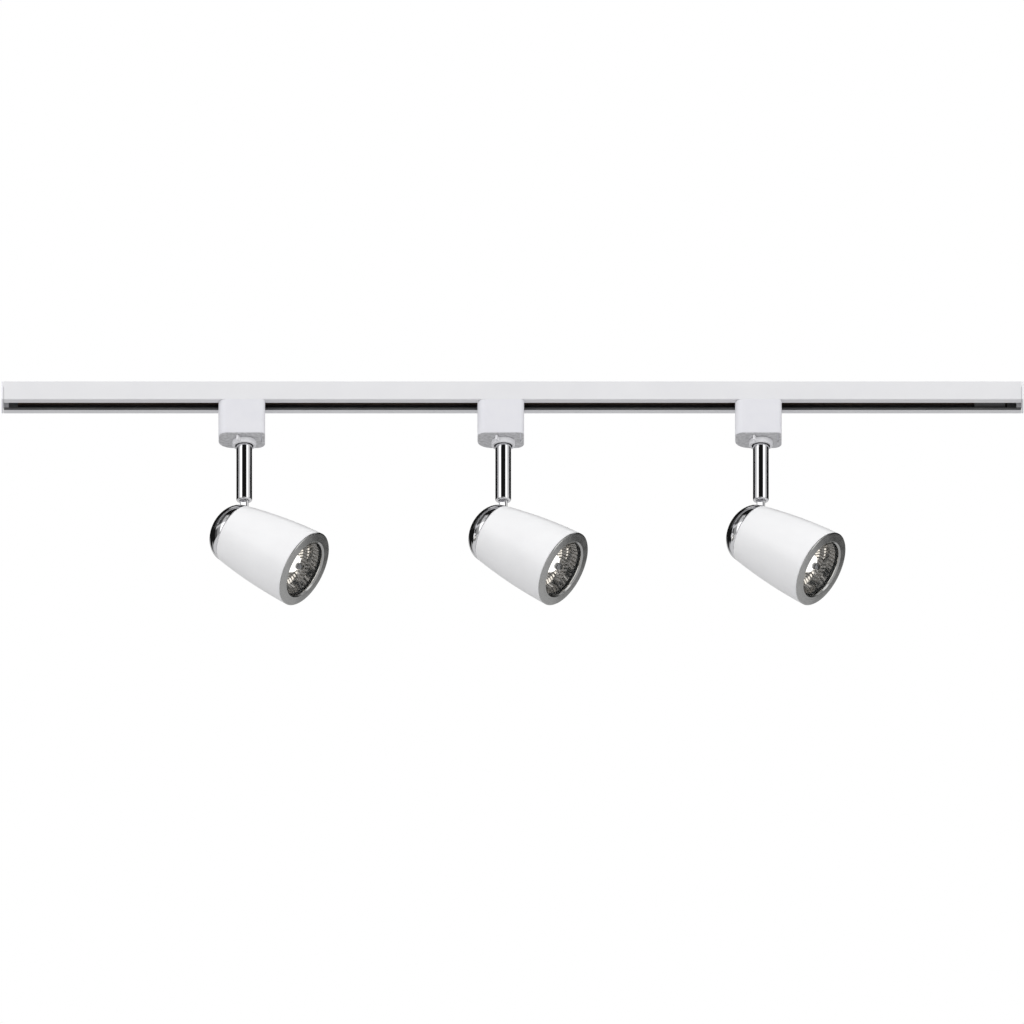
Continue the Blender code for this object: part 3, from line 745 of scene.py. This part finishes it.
def burner_glow_highlight():
    """The lamp's frosted burner, made to glow as a painted highlight in place of the bright
    reflection in the lamp's face.
    """
    material, tree, shader, coordinates = start_material("burner_glow_highlight")
    shader.inputs["Base Color"].default_value = (0.95, 0.94, 0.90, 1.0)
    shader.inputs["Roughness"].default_value = 0.35
    # The glow is a painted highlight.
    shader.inputs["Emission Strength"].default_value = 2.2
    tone = ranged(tree, noise(tree, coordinates, 0.003), 0.0, 1.0)
    tree.links.new(
        mixed(tree, tone, (1.0, 0.99, 0.96), (1.0, 0.97, 0.91)), shader.inputs["Emission Color"]
    )
    return material


# Rail -----------------------------------------------------------------------------------------


def mirrored(half):
    """A symmetric outline of (y, z, radius) corners from its +Y half."""
    return half + [(-y, z, radius) for y, z, radius in reversed(half)]


def outer_half(inset=0.0):
    half = RAIL_WIDTH / 2 - inset
    return [
        (half, -RAIL_HEIGHT + inset, RAIL_LOWER_FILLET),
        (half, -inset, RAIL_UPPER_FILLET),
    ]


def rail_shape(half_length):
    """The channel: side walls, a lip each side of the slot, and a rib inside each wall."""
    inside = RAIL_WIDTH / 2 - RAIL_WALL
    lip_top = -RAIL_HEIGHT + LIP_THICKNESS
    thickness, height = LIP_EDGE
    reach, rib_height = RIB_SIZE
    slot = SLOT_WIDTH / 2
    fine = RAIL_FINE_FILLET
    outer = [(slot, -RAIL_HEIGHT, RAIL_LIP_FILLET), *outer_half()]
    inner = [
        (inside, -RAIL_WALL, fine),
        (inside, -RIB_TOP, fine),
        (inside - reach, -RIB_TOP, fine),
        (inside - reach, -RIB_TOP - rib_height, fine),
        (inside, -RIB_TOP - rib_height, fine),
        (inside, lip_top, fine),
        (slot + thickness, lip_top, fine),
        (slot + thickness, lip_top + height, fine),
        (slot, lip_top + height, fine),
    ]
    loop = mirrored(outer) + [(-y, z, r) for y, z, r in reversed(inner)] + inner
    rail = extruded(filleted(loop), -half_length, half_length, "X")
    drills = [
        cylinder((x, 0.0), radius, *DRILL) for x, radius in (*SCREW_HOLES, KNOCKOUT)
    ]
    return combined(rail, drills, "DIFFERENCE")


def end_cap_shape(side, end):
    """A rounded plate over the rail's end, with two fingers inside the channel."""
    outline = filleted(mirrored(outer_half()))
    inner_face = end - side * END_PLATE
    plate = bevelled(extruded(outline, *sorted((end, inner_face)), "X"), END_PLATE_EDGE)
    finger_x = sorted((inner_face + side * OVERLAP, inner_face - side * FINGER_LENGTH))
    fingers = []
    for hand in (-1, 1):
        finger = block(finger_x, sorted(hand * y for y in FINGER_Y), (FINGER_FLOOR, -RIB_TOP))
        fingers.append(bevelled(finger, FINGER_EDGE))
    return combined(plate, fingers, "UNION")


def build_rail(paint, plastic):
    low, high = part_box("track_channel")
    finished(
        "rail_profile",
        rail_shape((high.x - low.x) / 2),
        paint,
        "track",
        ["track_channel"],
    )
    for side, name in ((-1, "end_cap_left"), (1, "end_cap_right")):
        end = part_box(name)[0].x if side < 0 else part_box(name)[1].x
        finished(
            f"{name}_moulding", end_cap_shape(side, end), plastic, "track", [name]
        )


# Adapter --------------------------------------------------------------------------------------


def housing_ring(inset, z, count=288):
    """Points round the housing at equal angles from the stem's axis."""
    left, right = HOUSING_X[0] + inset, HOUSING_X[1] - inset
    half = HOUSING_HALF_DEPTH - inset
    front_left, front_right, rear_left, rear_right = (
        max(radius - inset, HOUSING_LEAST_CORNER)
        for radius in HOUSING_FRONT_CORNERS + HOUSING_REAR_CORNERS
    )
    quarter = math.pi / 2
    outline = (
        arc((right - rear_right, half - rear_right), rear_right, 0.0, quarter, 14)
        + arc((left + rear_left, half - rear_left), rear_left, quarter, 2 * quarter, 20)
        + arc((left + front_left, -half + front_left), front_left, 2 * quarter, 3 * quarter, 18)
        + arc((right - front_right, -half + front_right), front_right, 3 * quarter, 4 * quarter, 12)
    )
    turns = [math.atan2(y, x) % (2 * math.pi) for x, y in outline]
    ring = []
    for step in range(count):
        angle = 2 * math.pi * step / count
        direction = Vector((math.cos(angle), math.sin(angle)))
        for index, (x, y) in enumerate(outline):
            following = (index + 1) % len(outline)
            span = (turns[following] - turns[index]) % (2 * math.pi)
            if (angle - turns[index]) % (2 * math.pi) <= span:
                start = Vector((x, y))
                edge = Vector(outline[following]) - start
                reach = start.cross(edge) / direction.cross(edge)
                ring.append((direction.x * reach, direction.y * reach, z))
                break
    return ring


def circle(radius, z, count=288):
    return [
        (
            radius * math.cos(2 * math.pi * step / count),
            radius * math.sin(2 * math.pi * step / count),
            z,
        )
        for step in range(count)
    ]


def housing_shape():
    """The shell: open above, rounded below, with a hole for the collar's sleeve."""
    rings = []
    for step in range(5):
        angle = math.pi / 2 * step / 4
        rings.append(
            housing_ring(
                HOUSING_TOP_EDGE * (1 - math.sin(angle)),
                HOUSING_TOP - HOUSING_TOP_EDGE * (1 - math.cos(angle)),
            )
        )
    for step in range(9):
        angle = math.pi / 2 * step / 8
        rings.append(
            housing_ring(
                HOUSING_EDGE * (1 - math.cos(angle)),
                HOUSING_BOTTOM + HOUSING_EDGE * (1 - math.sin(angle)),
            )
        )
    rings += [
        circle(HOUSING_HOLE + HOUSING_HOLE_EDGE, HOUSING_BOTTOM),
        circle(HOUSING_HOLE, HOUSING_BOTTOM + HOUSING_HOLE_EDGE),
        circle(HOUSING_HOLE, HOUSING_FLOOR),
        housing_ring(HOUSING_WALL, HOUSING_FLOOR),
        housing_ring(HOUSING_WALL, HOUSING_TOP),
    ]
    width, length, depth = LATCH_SEAM_SIZE
    seam = block(
        (LATCH_SEAM_X - width / 2, LATCH_SEAM_X + width / 2),
        (-HOUSING_HALF_DEPTH + OVERLAP, -HOUSING_HALF_DEPTH + length),
        (HOUSING_BOTTOM - OVERLAP, HOUSING_BOTTOM + depth),
    )
    return combined(lofted(rings), [seam], "DIFFERENCE")


def collar_shape():
    """The grip ring and its lever, and the sleeve that goes up into the housing."""
    recess_radius, recess_depth = COLLAR_RECESS
    profile = filleted(
        [
            (SLEEVE_TOP, COLLAR_BORE, 0.0),
            (SLEEVE_TOP, SLEEVE_RADIUS, 0.0003),
            (COLLAR_TOP, SLEEVE_RADIUS, 0.0),
            (COLLAR_TOP, COLLAR_RADIUS, 0.0004),
            (COLLAR_BOTTOM, COLLAR_RADIUS, 0.0007),
            (COLLAR_BOTTOM, recess_radius, 0.0003),
            (COLLAR_BOTTOM + recess_depth, recess_radius, 0.0002),
            (COLLAR_BOTTOM + recess_depth, COLLAR_BORE, 0.0),
        ]
    )
    width, reach, height = LEVER_SIZE
    lever = block(
        (COLLAR_RADIUS - width / 2, reach),
        (-width / 2, width / 2),
        (COLLAR_TOP - height, COLLAR_TOP - 0.0001),
    )
    lever = bevelled(lever, LEVER_EDGE)
    lever.transform(Matrix.Rotation(LEVER_ANGLE, 4, "Z"))
    return combined(turned(profile, "Z"), [lever], "UNION")


def stem_shape():
    """The tube, rounded in at its lower end to a small mouth."""
    bore = STEM_RADIUS - STEM_WALL
    profile = [
        (STEM_TOP, bore, 0.0),
        (STEM_TOP, STEM_RADIUS, 0.0003),
        (STEM_BOTTOM, STEM_RADIUS, STEM_END_FILLET),
        (STEM_BOTTOM, STEM_MOUTH, 0.0004),
        (STEM_BOTTOM + STEM_WALL, STEM_MOUTH, 0.0002),
        (STEM_BOTTOM + STEM_WALL, bore, 0.0),
    ]
    return turned(filleted(profile), "Z", 96)


def arm_shape(pivot_z):
    """A flat bar with an eye round the pivot pin and a round plug inside the stem."""
    half = ARM_WIDTH / 2
    shoulder = math.acos(half / ARM_EYE_RADIUS)
    top = STEM_BOTTOM + STEM_WALL + GAP + OVERLAP
    eye = arc((0.0, pivot_z), ARM_EYE_RADIUS, math.pi - shoulder, 2 * math.pi + shoulder, 40)
    outline = [(half, top), (-half, top)] + eye
    bar = extruded(outline, -ARM_THICKNESS / 2, ARM_THICKNESS / 2, "Y")
    bar = bevelled(bar, ARM_EDGE, angle=60.0)
    plug_radius = STEM_RADIUS - STEM_WALL - GAP
    plug = cylinder((0.0, 0.0), plug_radius, top - OVERLAP, ARM_PLUG_TOP)
    plug = bevelled(plug, ARM_PLUG_EDGE)
    hole = cylinder((0.0, pivot_z), ARM_HOLE_RADIUS, -ARM_DRILL_REACH, ARM_DRILL_REACH, "Y")
    return combined(combined(bar, [plug], "UNION"), [hole], "DIFFERENCE")


# Head -----------------------------------------------------------------------------------------


def shade_radius(along):
    share = (along - SHADE_REAR) / (SHADE_FRONT - SHADE_REAR)
    rear, front = SHADE_RADII
    return rear + (front - rear) * share + 4 * SHADE_BARREL * share * (1 - share)


def shade_shape():
    """The barrel-sided cone, with both edges rounded."""
    edge = SHADE_WALL / 2
    stations = 32
    outer = []
    for step in range(stations + 1):
        along = SHADE_REAR + edge + (SHADE_FRONT - SHADE_REAR - 2 * edge) * step / stations
        outer.append((along, shade_radius(along)))
    inner = [(along, radius - SHADE_WALL) for along, radius in reversed(outer)]
    front = arc(
        (SHADE_FRONT - edge, shade_radius(SHADE_FRONT - edge) - edge),
        edge,
        math.pi / 2,
        -math.pi / 2,
        8,
    )
    rear = arc(
        (SHADE_REAR + edge, shade_radius(SHADE_REAR + edge) - edge),
        edge,
        -math.pi / 2,
        -3 * math.pi / 2,
        8,
    )
    return turned(outer + front[1:-1] + inner + rear[1:-1])


def ellipse(rim, radius, depth, steps):
    """Points from a rim to the apex behind it along a quarter of an ellipse."""
    quarter = [math.pi / 2 * step / steps for step in range(steps)]
    points = [(rim - depth * math.sin(a), radius * math.cos(a)) for a in quarter]
    return points + [(rim - depth, 0.0)]


def dome_shape():
    """The rear cap, slotted from its skirt to past the apex so that the arm can swing."""
    rim = SHADE_REAR - GAP
    skirt_radius, skirt_front = DOME_SKIRT
    inner = skirt_radius - DOME_WALL
    rolled = DOME_ROLLED_EDGE
    outside = ellipse(rim - rolled, DOME_RADIUS, DOME_DEPTH - rolled, 28)[::-1]
    edge = arc((rim - rolled, DOME_RADIUS - rolled), rolled, math.pi / 2, 0.0, 5)
    skirt = [(rim, skirt_radius), (skirt_front, skirt_radius), (skirt_front, inner)]
    shell = turned(outside + edge[1:] + skirt + ellipse(rim, inner, DOME_DEPTH - DOME_WALL, 20))
    half = DOME_SLOT_WIDTH / 2
    outline = [(half, DOME_SLOT_HIGH), (-half, DOME_SLOT_HIGH)] + arc(
        (0.0, DOME_SLOT_LOW + half), half, math.pi, 2 * math.pi, 16
    )
    slot = extruded(outline, rim - DOME_DEPTH - 0.005, 0.0, "X")
    return combined(shell, [slot], "DIFFERENCE")


def ring_shape():
    """The rim: a band that falls outwards, a slope in to the lens, and a skirt in the shade."""
    back = SHADE_FRONT + GAP
    skirt_radius, skirt_rear = RING_SKIRT
    band = [
        (RING_FRONT - RING_FALL - 0.0009, RING_RADIUS, 0.0004),
        (RING_FRONT - RING_FALL, RING_RADIUS - 0.0008, 0.0009),
        (RING_FRONT, RING_BAND + 0.0002, 0.0005),
        (RING_FRONT - RING_SLOPE_DEPTH, RING_OPENING, 0.0003),
        (RING_SHOULDER, RING_OPENING, 0.0),
    ]
    rest = [
        (RING_SHOULDER, skirt_radius - RING_SKIRT_WALL, 0.0002),
        (skirt_rear, skirt_radius - RING_SKIRT_WALL, 0.0003),
        (skirt_rear, skirt_radius, 0.0003),
        (back, skirt_radius, 0.0),
        (back, RING_RADIUS, 0.0003),
    ]
    return turned(filleted(band + rest), steps=160)


def lens_shape():
    """The cover glass: gently domed, with a polished shoulder in the ring's opening."""
    shoulder = RING_OPENING - GAP
    radius, flange_front = LENS_FLANGE
    crown = []
    for step in range(13):
        share = step / 12
        crown.append(
            (LENS_CROWN - LENS_FALL * share * share, (shoulder - LENS_CHAMFER) * share)
        )
    edge = [(flange_front, shoulder), (flange_front, radius), (LENS_REAR, radius)]
    return turned(crown + edge + [(LENS_REAR, 0.0)], steps=96)


def lamp_shape():
    """The reflector lamp: a smooth glass bowl outside and a mosaic of facets inside."""
    neck, neck_radius = LAMP_NECK
    rear, rear_radius, front_radius = CAVITY
    edge = LAMP_BASE_EDGE
    outside = [(LAMP_BASE, 0.0), (LAMP_BASE, neck_radius - edge)]
    outside += arc((LAMP_BASE + edge, neck_radius - edge), edge, math.pi, math.pi / 2, 6)[1:]
    for step in range(15):
        share = step / 14
        outside.append(
            (
                neck + (LAMP_FRONT - LAMP_RIM - neck) * share * share,
                neck_radius + (LAMP_RADIUS - neck_radius) * share,
            )
        )
    outside += [
        (LAMP_FRONT - LAMP_RIM_EDGE, LAMP_RADIUS),
        (LAMP_FRONT, LAMP_RADIUS - LAMP_RIM_EDGE),
    ]
    rings = []
    for along, radius in outside:
        count = 1 if radius < 1e-7 else CAVITY_FACETS * 2
        rings.append(
            [
                (
                    along,
                    radius * math.cos(2 * math.pi * step / count),
                    radius * math.sin(2 * math.pi * step / count),
                )
                for step in range(count)
            ]
        )
    for number in range(CAVITY_RINGS + 1):
        share = 1 - number / CAVITY_RINGS
        along = rear + (LAMP_FRONT - rear) * share * share
        radius = rear_radius + (front_radius - rear_radius) * share
        ring = []
        for step in range(CAVITY_FACETS * 2):
            angle = math.pi * (step + number % 2) / CAVITY_FACETS
            pillow = 0.0 if (step % 2) == 0 else FACET_PILLOW * share
            reach = radius + pillow
            ring.append((along - pillow, reach * math.cos(angle), reach * math.sin(angle)))
        rings.append(ring)
    rings.append([(rear - CAVITY_FLOOR, 0.0, 0.0)])
    bowl = lofted(rings)
    bmesh.ops.triangulate(bowl, faces=[face for face in bowl.faces if len(face.verts) > 3])
    radius, pin_rear, offset = LAMP_PIN
    pins = [
        bevelled(
            cylinder((side * offset, 0.0), radius, pin_rear, LAMP_BASE + OVERLAP, "X", 24), 0.0004
        )
        for side in (-1, 1)
    ]
    return combined(bowl, pins, "UNION")


def burner_shape():
    """The inner bulb: a stalk that swells to a rounded body behind the grey tip."""
    start, end, radius = BURNER_BULGE
    stalk_rear, stalk_front = BURNER_STALK
    points = [
        (BURNER_REAR, 0.0, 0.0),
        (BURNER_REAR, stalk_rear, 0.0004),
        (start - 0.004, stalk_front, 0.0030),
        (start, radius, 0.0030),
        (end, radius, 0.0026),
        (end + 0.0018, BURNER_TIP_RADIUS - 0.0004, 0.0004),
        (end + 0.0010, 0.0, 0.0),
    ]
    return turned(filleted(points), steps=64)


def burner_tip_shape():
    """The rounded metal tip that hides the burner from the front."""
    radius = BURNER_TIP_RADIUS
    rear = BURNER_BULGE[1] + 0.0012
    back = [(rear, 0.0), (rear, radius - 0.0003), (rear + 0.0003, radius)]
    return turned(back + ellipse(BURNER_TIP - radius, radius, -radius, 14), steps=64)


# Assembly -------------------------------------------------------------------------------------


def centre_of(node):
    low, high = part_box(node)
    return (low + high) / 2


def frames_of(number):
    """The adapter, stem and head frames of one spotlight, read from its joints."""
    joints = {joint["name"]: joint for joint in frame["joints"]}
    pivot = Vector(joints[f"tilt_{number}"]["pos_m"])
    pin = Vector(joints[f"tilt_{number}"]["axis"]).normalized()
    beam = centre_of(f"front_ring_{number}") - pivot
    beam = (beam - pin * beam.dot(pin)).normalized()
    up = Vector((0.0, 0.0, 1.0))
    aim = pin.cross(up).normalized()
    ceiling = Vector((pivot.x, pivot.y, 0.0))

    def matrix(x, y, z, origin):
        return Matrix.Translation(origin) @ Matrix((x, y, z)).transposed().to_4x4()

    adapter = Matrix.Translation(ceiling)
    stem = matrix(aim, pin, up, ceiling)
    head = matrix(beam, pin, beam.cross(pin), pivot)
    return adapter, stem, head


def build_spotlight(number, finishes):
    adapter, stem, head = frames_of(number)
    pivot_z = head.translation.z
    pieces = [
        ("housing_shell", housing_shape(), "white_plastic", "adapter", "white_plastic",
         ["adapter_housing"], adapter),
        ("grip_collar", collar_shape(), "collar_plastic", "rotor", "white_plastic",
         ["lock_collar"], adapter),
        ("stem_tube", stem_shape(), "chrome", "stem", "chrome", ["stem"], stem),
        ("pivot_arm", arm_shape(pivot_z), "chrome", "stem", "chrome", ["swivel_arm"], stem),
        ("shade_shell", shade_shape(), "white_paint", "head", "white_paint", ["shade"], head),
        ("rear_dome", dome_shape(), "chrome", "head", "chrome", ["rear_cap"], head),
        ("rim_ring", ring_shape(), "satin_nickel", "head", "satin_nickel", ["front_ring"], head),
        ("cover_glass", lens_shape(), "clear_glass", "head", "clear_glass", ["lamp_lens"], head),
        ("reflector_bowl", lamp_shape(), "reflector", "head", "reflector_glass", ["lamp"], head),
        # The burner glows as a painted highlight.
        ("lamp_burner", burner_shape(), "burner_glow_highlight", "head", "clear_glass", [], head),
        ("lamp_tip", burner_tip_shape(), "zinc_steel", "head", "zinc_steel", [], head),
    ]
    for name, shape, finish, body, slot, nodes, place in pieces:
        finished(
            f"{name}_{number}",
            shape,
            finishes[finish],
            f"{body}_{number}",
            [f"{node}_{number}" for node in nodes],
            place,
            sharp_angle=FACET_SHARP_ANGLE if name == "reflector_bowl" else SHARP_ANGLE,
        )


def dress_cad_nodes(finishes):
    """Gives the CAD nodes that stay their material, and rounds their visible edges."""
    looks = {
        "insulator": ("black_plastic", 0.0003),
        "conductor": ("copper", 0.0002),
        "ground_strip": ("copper", 0.0001),
        "feed_block": ("black_plastic", 0.0004),
        "adapter_cover": ("collar_plastic", 0.0003),
        "contact_neck": ("black_plastic", 0.0003),
        "live_contact": ("brass", 0.0002),
        "neutral_contact": ("brass", 0.0002),
        "stem_nut": ("zinc_steel", 0.0003),
        "lampholder": ("ceramic", 0.0005),
        "head_bracket": ("zinc_steel", 0.0003),
        "pivot_pin": ("zinc_steel", 0.0003),
    }
    for name, obj in frame["nodes"].items():
        for start, (finish, edge) in looks.items():
            if not name.startswith(start):
                continue
            obj.data.materials.clear()
            obj.data.materials.append(finishes[finish])
            rounding = obj.modifiers.new("edges", "BEVEL")
            rounding.width = edge
            rounding.segments = 3
            rounding.limit_method = "ANGLE"
            rounding.angle_limit = math.radians(40.0)
            rounding.harden_normals = True


# Stage ----------------------------------------------------------------------------------------


def build_floor():
    floor = loose_object("floor", block((-0.5, 0.5), (-0.5, 0.5), (-0.001, 0.0)))
    floor.scale = (FLOOR_SIZE, FLOOR_SIZE, 1.0)
    floor.location = (0.0, 0.0, FLOOR_Z)
    material, tree, shader, coordinates = start_material("floor_paint")
    tone = ranged(tree, noise(tree, coordinates, 0.02), 0.0, 1.0)
    tree.links.new(
        mixed(tree, tone, (0.51, 0.51, 0.515), (0.52, 0.52, 0.525)), shader.inputs["Base Color"]
    )
    shader.inputs["Roughness"].default_value = 0.9
    floor.data.materials.append(material)


def window(tree, angle, limits, softness=2.5):
    """1 between two angles in degrees, falling softly to 0 outside them."""
    low, high = (math.radians(limit) for limit in limits)
    soft = math.radians(softness)
    rising = ranged(tree, angle, 0.0, 1.0, low - soft, low + soft)
    falling = ranged(tree, angle, 1.0, 0.0, high - soft, high + soft)
    return maths(tree, "MULTIPLY", rising, falling)


def build_world():
    """A white studio: soft light all round, and bright walls with dark between for mirrors."""
    world = bpy.data.worlds.new("studio")
    world.use_nodes = True
    world.cycles.sampling_method = "NONE"
    bpy.context.scene.world = world
    tree = world.node_tree
    background = tree.nodes["Background"]
    direction = add_node(tree, "ShaderNodeTexCoord").outputs["Generated"]
    x, y, z = split(tree, direction)
    turn = maths(tree, "ARCTAN2", x, maths(tree, "MULTIPLY", y, -1.0))
    rise = maths(tree, "ARCSINE", z)
    mottle = ranged(tree, noise(tree, direction, 0.10, 2.0), *MOTTLE)
    mirror = MIRROR_DARK
    for on_both_sides, mottled, turns, rises, brightness in MIRRORED_WALLS:
        place = maths(tree, "ABSOLUTE", turn) if on_both_sides else turn
        wall = maths(tree, "MULTIPLY", window(tree, place, turns), window(tree, rise, rises))
        if mottled:
            wall = maths(tree, "MULTIPLY", wall, mottle)
        mirror = maths(tree, "MULTIPLY_ADD", wall, brightness, mirror)
    brightness, change = SOFT_LIGHT
    side = maths(tree, "MULTIPLY_ADD", x, change, brightness)
    soft = maths(tree, "MULTIPLY_ADD", y, change, side)
    paths = add_node(tree, "ShaderNodeLightPath")
    glossy = mixed_value(tree, paths.outputs["Is Glossy Ray"], soft, mirror)
    seen = mixed_value(tree, paths.outputs["Is Camera Ray"], glossy, 1.0)
    tree.links.new(seen, background.inputs["Color"])


def build_camera():
    data = bpy.data.cameras.new("camera")
    data.type = "ORTHO"
    data.ortho_scale = CAMERA_WIDTH
    camera = bpy.data.objects.new("camera", data)
    bpy.context.scene.collection.objects.link(camera)
    forward = Vector((0.0, math.cos(CAMERA_ELEVATION), -math.sin(CAMERA_ELEVATION)))
    camera.location = Vector(CAMERA_TARGET) - forward * CAMERA_DISTANCE
    camera.rotation_euler = forward.to_track_quat("-Z", "Y").to_euler()
    bpy.context.scene.camera = camera


def main():
    for obj in [o for o in bpy.data.objects if o.name in ("Cube", "Light", "Camera")]:
        bpy.data.objects.remove(obj, do_unlink=True)
    finishes = {
        "white_paint": white_paint(),
        "rail_paint_and_shade": rail_paint_and_shade(),
        "white_plastic": white_plastic(),
        "collar_plastic": collar_plastic(),
        "black_plastic": black_plastic(),
        "copper": drawn_metal("copper", (0.34, 0.25, 0.20), (0.22, 0.16, 0.13), (0.35, 0.5)),
        "brass": drawn_metal("brass", (0.78, 0.62, 0.32), (0.66, 0.50, 0.24), (0.25, 0.40)),
        "chrome": chrome(),
        "zinc_steel": zinc_steel(),
        "satin_nickel": satin_nickel(),
        "reflector": reflector(),
        "clear_glass": clear_glass(),
        "ceramic": ceramic(),
        "burner_glow_highlight": burner_glow_highlight(),
    }
    dress_cad_nodes(finishes)
    build_rail(finishes["rail_paint_and_shade"], finishes["collar_plastic"])
    for number in HEADS:
        build_spotlight(number, finishes)
    build_floor()
    build_world()
    build_camera()
    scene = bpy.context.scene
    scene.view_settings.view_transform = "Standard"


main()
